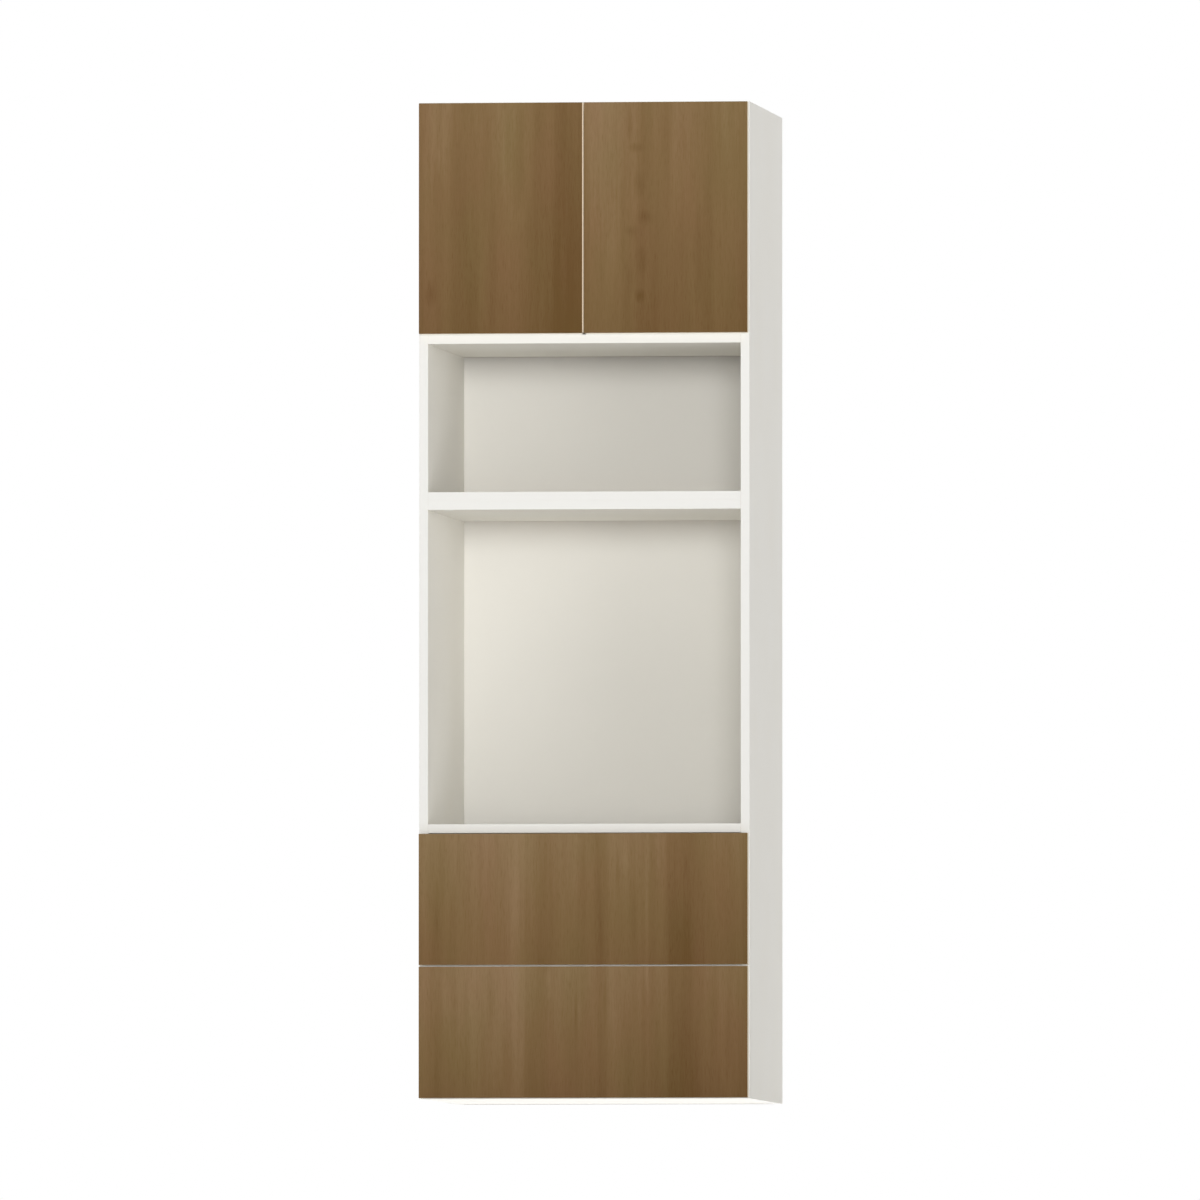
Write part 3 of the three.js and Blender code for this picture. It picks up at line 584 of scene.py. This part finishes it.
LEFT_DOOR_BANDS = [
    (0, 48), (14, 58), (48, 58), (72, 50), (88, 47), (120, 55), (138, 52), (148, 60), (162, 58),
    (195, 50), (214, 45), (238, 41), (242, 38), (247, 29), (268, 25), (285, 27), (297, 23)]
LEFT_DOOR_STREAKS = [
    (44, 70, 9, 90, 6), (38, 95, 4, 40, 9), (22, 345, 14, 32, -21), (30, 150, 6, 70, -8),
    (182, 205, 20, 40, 8), (198, 225, 6, 60, -8), (154, 100, 6, 160, 8)]
RIGHT_DOOR_BANDS = [
    (0, 58), (12, 64), (48, 68), (64, 66), (70, 57), (84, 56), (103, 48), (139, 49), (193, 56),
    (229, 50), (247, 55), (283, 50), (297, 47)]
RIGHT_DOOR_STREAKS = [
    (84, 42, 7, 36, -12), (97, 82, 18, 11, -19), (101, 148, 13, 28, -15),
    (112, 208, 18, 17, -17), (86, 233, 17, 12, -13), (106, 287, 15, 34, -13),
    (83, 315, 9, 46, -10), (102, 350, 12, 16, -24), (78, 375, 9, 60, -8), (93, 185, 6, 44, 7),
    (208, 290, 10, 130, -14), (60, 260, 22, 130, 7), (240, 200, 12, 90, 5)]
DRAWER_BANDS = [
    (0, 62), (13, 68), (31, 62), (60, 68), (105, 73), (140, 72), (179, 80), (190, 78), (196, 63),
    (215, 60), (271, 64), (318, 59), (328, 51), (338, 58), (346, 66), (363, 66), (401, 62),
    (410, 57), (416, 63), (424, 57), (450, 54), (456, 43), (470, 40), (491, 36), (505, 42),
    (514, 50), (547, 57), (583, 55), (597, 50)]
UPPER_DRAWER_STREAKS = [
    (32, 160, 8, 90, -12), (375, 50, 8, 40, 9), (362, 70, 4, 40, -12), (416, 160, 4, 100, 12),
    (332, 170, 8, 110, -10), (484, 60, 4, 30, -12), (480, 200, 26, 90, -8),
    (560, 160, 6, 80, -6)]
LOWER_DRAWER_STREAKS = [
    (48, 60, 14, 60, 8), (130, 60, 10, 100, -10), (284, 90, 4, 70, -14), (291, 80, 5, 50, 9),
    (338, 60, 5, 60, -12), (416, 20, 4, 50, 12), (560, 120, 5, 90, -7), (238, 30, 8, 34, 10)]
for name, bands, streaks in (
        ("left_door", LEFT_DOOR_BANDS, LEFT_DOOR_STREAKS),
        ("right_door", RIGHT_DOOR_BANDS, RIGHT_DOOR_STREAKS),
        ("upper_drawer_front", DRAWER_BANDS, UPPER_DRAWER_STREAKS),
        ("lower_drawer_front", DRAWER_BANDS, LOWER_DRAWER_STREAKS)):
    dress(name, wood_finish(f"walnut_print_{name}", name, bands, streaks))
    ease_edges(name, FRONT_ARRIS, segments=3)


# ---------- dust seals of the doors ----------
# Soft extruded vinyl. A cream lip on the left door's band fills the gap between the doors, just
# behind their faces, and a flat white strip behind each door's foot meets the cupboard's floor.

def seal(lowest, highest, tip, taper, end):
    """A strip between two corners, drawn out past its edge to a thinner end."""
    middle = (Vector(lowest) + Vector(highest)) / 2
    bpy.ops.object.select_all(action="DESELECT")
    bpy.ops.mesh.primitive_cube_add(size=1, location=middle)
    strip = bpy.context.object
    strip.scale = Vector(highest) - Vector(lowest)
    bpy.ops.object.transform_apply(location=True, rotation=True, scale=True)
    bpy.ops.object.mode_set(mode="EDIT")
    pick("FACE", lambda face: face.normal.dot(Vector(end)) > POINTS_THE_WAY)
    bpy.ops.mesh.extrude_region_move(TRANSFORM_OT_translate={"value": Vector(end) * tip})
    bpy.ops.transform.resize(value=(1, taper, 1))
    bpy.ops.object.mode_set(mode="OBJECT")
    return strip


LIP_WIDTH = 2.2 * MM
LIP_THICKNESS = 1.2 * MM
LIP_SETBACK = 1.0 * MM
LIP_TIP, LIP_TAPER = 0.15 * MM, 0.4
# Plasticised vinyl in the cream of the edge bands: matt and slightly waxy.
cream_vinyl = clouded_finish("cream_soft_vinyl", "#D4C1A9", "#DECBB3", patch=16 * MM,
                             rough=(0.55, 0.65))
low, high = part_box("left_door")
lip_y = low.y + LIP_SETBACK
lip = seal((high.x, lip_y, low.z + LIP_SETBACK),
           (high.x + LIP_WIDTH, lip_y + LIP_THICKNESS, high.z - LIP_SETBACK),
           LIP_TIP, LIP_TAPER, (1, 0, 0))
settle([lip], "left_door_dust_lip", cream_vinyl, "left_door_leaf")

STRIP_THICKNESS = 1.4 * MM
STRIP_HEIGHT = 6 * MM
STRIP_BELOW_DOOR = 2 * MM
STRIP_TIP, STRIP_TAPER = 0.4 * MM, 0.5
STRIP_END_GAP = 2 * MM
# The same vinyl in white.
white_vinyl = clouded_finish("white_soft_vinyl", "#ECEBE5", "#F3F2EE", patch=16 * MM,
                             rough=(0.55, 0.65))
for name, _ in SIDES:
    low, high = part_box(f"{name}_door")
    foot = low.z - STRIP_BELOW_DOOR
    strip = seal((low.x + STRIP_END_GAP, high.y, foot),
                 (high.x - STRIP_END_GAP, high.y + STRIP_THICKNESS, foot + STRIP_HEIGHT),
                 STRIP_TIP, STRIP_TAPER, (0, 0, -1))
    settle([strip], f"{name}_door_dust_strip", white_vinyl, f"{name}_door_leaf")


# ---------- door and drawer bumpers ----------
# Clear polyurethane domes, 8 mm across, self-adhesive. They sit on the backs of the fronts and
# meet the carcass edges, so that a front closes without a knock.

# Cast polyurethane: clear, soft and glossy, with a faint haze.
bumper_gel = clouded_finish("clear_polyurethane", "#E6E8E2", "#F3F4F1", patch=3.3 * MM,
                            rough=(0.16, 0.26), Transmission_Weight=0.75, IOR=1.5)
BUMPER_RADIUS = 4 * MM
BUMPER_STEPS = [(0, 0.5 * MM), (0.5 * MM, 0.5 * MM), (0.8 * MM, 0.4 * MM), (1.2 * MM, 0.25 * MM)]
bumper = turned_disc(BUMPER_RADIUS, BUMPER_STEPS, sides=24)
BACK_OF_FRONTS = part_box("left_door")[1].y
BOARD_EDGE_X = 291.5 * MM
MEETING_BUMPER = (18 * MM, 1791 * MM)
HINGE_SIDE_BUMPER = (BOARD_EDGE_X, 1400 * MM)
BELOW_DRAWER_TOP = 24 * MM
for name, side in SIDES:
    places = [standing((side * x, BACK_OF_FRONTS, z), (0, 1, 0))
              for x, z in (MEETING_BUMPER, HINGE_SIDE_BUMPER)]
    set_of(bumper, places, f"{name}_door_bumpers", bumper_gel, f"{name}_door_leaf")
for drawer in ("lower_drawer", "upper_drawer"):
    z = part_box(f"{drawer}_front")[1].z - BELOW_DRAWER_TOP
    places = [standing((side * BOARD_EDGE_X, BACK_OF_FRONTS, z), (0, 1, 0)) for _, side in SIDES]
    set_of(bumper, places, f"{drawer}_bumpers", bumper_gel, drawer)


# ---------- concealed hinges ----------
# Four clip-on cup hinges of pressed and nickel-plated steel. The cup is screwed to the door, the
# arm clips on a plate screwed to the side, and two bent links join them.

HINGE_LEVELS = (("lower", 1476 * MM), ("upper", 1704 * MM))
DOOR_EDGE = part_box("right_door")[1].x
# Each screw: inwards from the door's outer edge, back from the carcass's front edge, above the
# hinge's middle, and its size and height beside the model's.
PLATE_SCREWS = [(16.9 * MM, 37 * MM, up * MM, 1.05, 1.0) for up in (-16, 16)]
ARM_SCREWS = [(38.2 * MM, 14 * MM, 0, 0.8, 0.6), (37.6 * MM, 30 * MM, 0, 0.95, 0.8)]
CUP_SCREWS = [(31 * MM, -1.1 * MM, up * MM, 0.9, 0.6) for up in (-22.5, 22.5)]
ARM_ARRIS = 0.15 * MM
CUP_ARRIS = LINK_ARRIS = 0.12 * MM


def hinge_screws(rows, side, level, direction):
    """The places of one hinge's screws, with their heads in a direction."""
    return [standing((side * (DOOR_EDGE - inwards), CARCASS_FRONT + back, level + up),
                     direction, size, height) for inwards, back, up, size, height in rows]


for name, side in SIDES:
    for end, level in HINGE_LEVELS:
        hinge = f"{name}_{end}_hinge"
        leaf = f"{name}_door_leaf"
        refined(f"{hinge}_arm", nickel_plate, "carcass", ARM_ARRIS)
        refined(f"{hinge}_cup", nickel_plate, leaf, CUP_ARRIS)
        for link in ("outer", "inner"):
            refined(f"{hinge}_{link}_link", nickel_plate, f"{name}_{link}_links",
                    LINK_ARRIS)
        places = hinge_screws(PLATE_SCREWS + ARM_SCREWS, side, level, (-side, 0, 0))
        set_of(screw, places, f"{hinge}_arm_screws", screw_zinc, "carcass")
        places = hinge_screws(CUP_SCREWS, side, level, (0, 1, 0))
        set_of(screw, places, f"{hinge}_cup_screws", screw_zinc, leaf)


# ---------- push latch ----------
# A double push-to-open latch, moulded in grey acetal and screwed under the top panel. Pressing a
# door releases its spring plunger, which pushes the door out far enough to be gripped.

# Acetal from a spark-eroded mould: opaque, slightly waxy, with soft broad highlights.
grey_acetal = clouded_finish("grey_acetal", "#B0B0AC", "#C2C2BE", patch=11 * MM,
                             rough=(0.38, 0.48), grain=0.5 * MM)
LATCH_ARRIS = 0.5 * MM
LATCH_SCREW_SIZE = 0.95
LATCH_SCREWS_Y = (-258 * MM, -208 * MM)
refined("push_latch_housing", grey_acetal, "carcass", LATCH_ARRIS)
for name, _ in SIDES:
    refined(f"{name}_push_latch_plunger", grey_acetal, f"{name}_plunger",
            LATCH_ARRIS)
latch_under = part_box("push_latch_housing")[0].z
latch_screws = [standing((0, y, latch_under), (0, 0, -1), LATCH_SCREW_SIZE)
                for y in LATCH_SCREWS_Y]
set_of(screw, latch_screws, "push_latch_screws", screw_zinc, "carcass")


# ---------- drawer boxes ----------
# Each box has two 16 mm sides and a back of white melamine board, banded on top, and a white
# hardboard bottom slid into grooves. Cam connectors under white caps hold the front on.

DRAWERS = ("lower_drawer", "upper_drawer")
drawer_side_finish = board_finish("white_melamine_drawer_side", 0, [TOP, UNDER])
drawer_back_finish = board_finish("white_melamine_drawer_back", 1, [TOP, UNDER])
drawer_bottom_finish = hardboard_finish("white_hardboard_level", 2, -1)
FRONT_CAP_LEVELS = (45 * MM, 115 * MM)
for drawer in DRAWERS:
    for name, finish in (("left_side", drawer_side_finish), ("right_side", drawer_side_finish),
                         ("back", drawer_back_finish)):
        dress(f"{drawer}_{name}", finish)
        ease_edges(f"{drawer}_{name}", BOARD_ARRIS)
    dress(f"{drawer}_bottom", drawer_bottom_finish)
    low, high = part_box(f"{drawer}_right_side")
    places = [standing((side * low.x, low.y + CAP_FROM_END, low.z + up), (-side, 0, 0))
              for _, side in SIDES for up in FRONT_CAP_LEVELS]
    set_of(cap, places, f"{drawer}_connector_caps", cap_plastic, drawer)


# ---------- drawer slides ----------
# Full-extension slides of roll-formed, zinc-plated steel in three members. Steel balls run
# between their curled edges in two cages, which travel with the middle member.

# Zinc plate on cold-rolled strip: a bluish satin grey, with fine lines along the rolling.
slide_zinc = clouded_finish("satin_zinc_plate", "#A8ADB1", "#C6CACD", patch=2 * MM,
                            rough=(0.28, 0.44), drawn=(1, 0.06, 1), Metallic=1.0)
# Polished bearing steel: nearly a mirror, a little warm.
ball_steel = clouded_finish("polished_bearing_steel", "#C8C7C4", "#DAD9D6", patch=1.4 * MM,
                            rough=(0.08, 0.16), Metallic=1.0)

CAGE_LENGTH = 90 * MM
CAGE_SHEET = 0.26 * MM
CAGE_PAST_BALLS = 1.8 * MM
BALL_RADIUS = 1.45 * MM
BALL_CUTS = 3  # in each edge of the cube that a ball is rounded from
BALL_PITCH = 10 * MM
BALLS_IN_ROW = 9
# Each cage: half height, web and rows of balls as distances from the side board, and middle y.
CAGES = (("outer", 20.1 * MM, 3.1 * MM, 6.4 * MM, 100 * MM),
         ("inner", 15.9 * MM, 5.2 * MM, 8.4 * MM, -140 * MM))
SLIDE_SCREWS_Y = (-233 * MM, -9 * MM, 183 * MM)
SLIDE_SCREW_SIZE = 1.05
CABINET_WEB = 1.2 * MM  # the webs' faces, from the side board
DRAWER_WEB = 11.8 * MM
SIDE_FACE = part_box("right_side")[0].x
SLIDE_ARRIS = 0.15 * MM


def ball_cage(half_height, reach):
    """A strip bent to a channel: a web in x = 0 and two flanges that hold the balls."""
    bpy.ops.object.select_all(action="DESELECT")
    bpy.ops.mesh.primitive_plane_add(size=1, rotation=(0, math.pi / 2, 0))
    cage = bpy.context.object
    bpy.ops.object.transform_apply(location=True, rotation=True, scale=True)
    cage.scale = (1, CAGE_LENGTH, 2 * half_height)
    bpy.ops.object.transform_apply(location=True, rotation=True, scale=True)
    bpy.ops.object.mode_set(mode="EDIT")
    for sign in (-1, 1):
        pick("EDGE", lambda edge: all(v.co.z * sign > 0 and v.co.x < HAIR for v in edge.verts))
        bpy.ops.mesh.extrude_region_move(TRANSFORM_OT_translate={"value": (reach, 0, 0)})
    bpy.ops.object.mode_set(mode="OBJECT")
    sheet = cage.modifiers.new("sheet", "SOLIDIFY")
    sheet.thickness, sheet.offset = CAGE_SHEET, 0
    bpy.ops.object.modifier_apply(modifier="sheet")
    return cage


bpy.ops.object.select_all(action="DESELECT")
bpy.ops.mesh.primitive_cube_add(size=2 * BALL_RADIUS)
ball = bpy.context.object
bpy.ops.object.mode_set(mode="EDIT")
bpy.ops.mesh.subdivide(number_cuts=BALL_CUTS)
bpy.ops.object.mode_set(mode="OBJECT")
rounded = ball.modifiers.new("rounded", "CAST")
rounded.factor, rounded.size, rounded.use_radius_as_size = 1.0, BALL_RADIUS, False
bpy.ops.object.modifier_apply(modifier="rounded")
bpy.ops.object.shade_smooth()


def on_slide(side, from_side, y, z):
    """The place of a piece on a slide, turned so that its x points away from the side board."""
    turn = Matrix.Rotation(math.pi if side > 0 else 0, 4, "Z")
    return Matrix.Translation((side * (SIDE_FACE - from_side), y, z)) @ turn


for drawer in DRAWERS:
    middle_body = drawer.replace("_drawer", "_middle_members")
    low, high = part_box(f"{drawer}_slide_left_drawer_member")
    axis_z = (low.z + high.z) / 2
    for name, side in SIDES:
        slide = f"{drawer}_slide_{name}"
        for member, body in (("cabinet", "carcass"), ("middle", middle_body), ("drawer", drawer)):
            refined(f"{slide}_{member}_member", slide_zinc, body, SLIDE_ARRIS)
        for kind, half_height, web, row, middle_y in CAGES:
            cage = ball_cage(half_height, row - web + CAGE_PAST_BALLS)
            set_of(cage, [on_slide(side, web, middle_y, axis_z)], f"{slide}_{kind}_cage",
                   slide_zinc, middle_body)
            bpy.data.objects.remove(cage)
            first = middle_y - BALL_PITCH * (BALLS_IN_ROW - 1) / 2
            places = [on_slide(side, row, first + i * BALL_PITCH, axis_z + edge)
                      for i in range(BALLS_IN_ROW) for edge in (-half_height, half_height)]
            set_of(ball, places, f"{slide}_{kind}_balls", ball_steel, middle_body)
        for holder, face, towards, body in (("cabinet", CABINET_WEB, -side, "carcass"),
                                            ("drawer", DRAWER_WEB, side, drawer)):
            places = [standing((side * (SIDE_FACE - face), y, axis_z), (towards, 0, 0),
                               SLIDE_SCREW_SIZE) for y in SLIDE_SCREWS_Y]
            set_of(screw, places, f"{slide}_{holder}_screws", screw_zinc, body)
for model in (cap, screw, bumper, ball):
    bpy.data.objects.remove(model)


# ---------- studio ----------
# A wide pale floor, soft light that is strongest from the camera's side, and a long lens that
# stands a little to the right of the unit and just below its base, as in the photograph.

# The floor is open under the carcass, so that its underside is lit, and clear from below.
FLOOR_REACH = 40.0
FLOOR_Z = -0.5 * MM
low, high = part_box("right_side")
footprint = Vector((2 * high.x, high.y - low.y, 1))
bpy.ops.object.select_all(action="DESELECT")
bpy.ops.mesh.primitive_plane_add(size=1, location=(0, (low.y + high.y) / 2, FLOOR_Z))
floor = bpy.context.object
floor.name = "studio_floor"
floor.scale = footprint + Vector((2 * FLOOR_REACH, 2 * FLOOR_REACH, 0))
bpy.ops.object.transform_apply(location=True, rotation=True, scale=True)
bpy.ops.object.mode_set(mode="EDIT")
bpy.ops.mesh.select_all(action="SELECT")
bpy.ops.mesh.inset(thickness=FLOOR_REACH)
pick("FACE", lambda face: face.calc_center_median().xy.length < footprint.y)
bpy.ops.mesh.delete(type="FACE")
bpy.ops.object.mode_set(mode="OBJECT")


def seen(finish):
    """1 where the camera looks, also by way of metal or clear plastic, and 0 for bounced light."""
    path = add_node(finish, "LightPath").outputs
    in_metal = add_node(finish, "Math", {0: path["Is Camera Ray"], 1: path["Is Glossy Ray"]},
                        operation="MAXIMUM")
    return add_node(finish, "Math", {0: in_metal, 1: path["Is Transmission Ray"]},
                    operation="MAXIMUM")


# Matt paper: it bounces a little less light than the camera sees on it, so that it looks white.
FLOOR_LIFT = 0.41
floor_paper, _ = start_finish("pale_floor")
matt = add_node(floor_paper, "BsdfDiffuse", {"Color": shade("#E6E5E2")})
pale = add_node(floor_paper, "BsdfDiffuse", {"Color": shade("#F4F3F1")})
lift = add_node(floor_paper, "Emission", {"Color": shade("#FFFFFF"), "Strength": FLOOR_LIFT})
bright = add_node(floor_paper, "AddShader", {0: pale, 1: lift})
upper = add_node(floor_paper, "MixShader", {0: seen(floor_paper), 1: matt, 2: bright})
clear = add_node(floor_paper, "BsdfTransparent")
from_below = add_node(floor_paper, "NewGeometry").outputs["Backfacing"]
both = add_node(floor_paper, "MixShader", {0: from_below, 1: upper, 2: clear})
add_node(floor_paper, "OutputMaterial", {"Surface": both})
floor.data.materials.append(floor_paper)

ROOM_LIGHT = 0.19
world = bpy.data.worlds.new("studio")
bpy.context.scene.world = world
world.use_nodes = True
world.node_tree.nodes.clear()
dim = add_node(world, "Background", {"Color": shade("#FFFFFF"), "Strength": ROOM_LIGHT})
white = add_node(world, "Background", {"Color": shade("#FFFFFF"), "Strength": 1.0})
backdrop = add_node(world, "MixShader", {0: seen(world), 1: dim, 2: white})
add_node(world, "OutputWorld", {"Surface": backdrop})

# Each lamp: name, azimuth and elevation it shines from, how wide it looks, all in degrees, and
# its share of the light that shows a colour as it is written.
LAMPS = [
    ("front_lamp", 6, 0.5, 12, 0.44),
    ("low_front_lamp", 0, -40, 30, 0.09),
    ("low_right_lamp", 45, -8, 40, 0.28),
    ("right_lamp", 60, 0, 50, 0.08),
    ("left_lamp", -50, 15, 60, 0.04),
    ("left_rear_lamp", -105, 20, 60, 0.30),
    ("rear_lamp", 190, 25, 60, 0.40),
    ("overhead_lamp", 0, 80, 80, 0.10),
    ("under_lamp", 0, -90, 30, 0.74),
]
LAMP_DISTANCE = 5.0
THROUGH_THE_FLOOR = ("low_front_lamp", "low_right_lamp")
ignored = bpy.data.collections.new("clear_to_low_lamps")
ignored.objects.link(floor)
ignored.collection_objects[0].light_linking.link_state = "EXCLUDE"
for name, azimuth, elevation, spread, share in LAMPS:
    turn, rise = math.radians(azimuth), math.radians(elevation)
    towards = Vector((math.sin(turn) * math.cos(rise), -math.cos(turn) * math.cos(rise),
                      math.sin(rise)))
    bpy.ops.object.light_add(type="SUN", location=LAMP_DISTANCE * towards)
    lamp = bpy.context.object
    lamp.name = name
    lamp.rotation_euler = towards.to_track_quat("Z", "Y").to_euler()
    lamp.data.energy = math.pi * share
    lamp.data.angle = math.radians(spread)
    if name in THROUGH_THE_FLOOR:
        lamp.light_linking.blocker_collection = ignored

CAMERA_AT = Vector((5.4385, -48.0, -0.8909))
CAMERA_AIM = Vector((0.0309, -0.29, 0.8992))
SENSOR_WIDTH, FOCAL_LENGTH = 36, 799.1  # both in mm, as the camera counts them
FAR_LIMIT = 200  # in metres
bpy.ops.object.camera_add(location=CAMERA_AT)
camera = bpy.context.object
camera.rotation_euler = (CAMERA_AT - CAMERA_AIM).to_track_quat("Z", "Y").to_euler()
camera.data.sensor_width = SENSOR_WIDTH
camera.data.lens = FOCAL_LENGTH
camera.data.clip_end = FAR_LIMIT
bpy.context.scene.camera = camera
bpy.context.scene.view_settings.view_transform = "Standard"
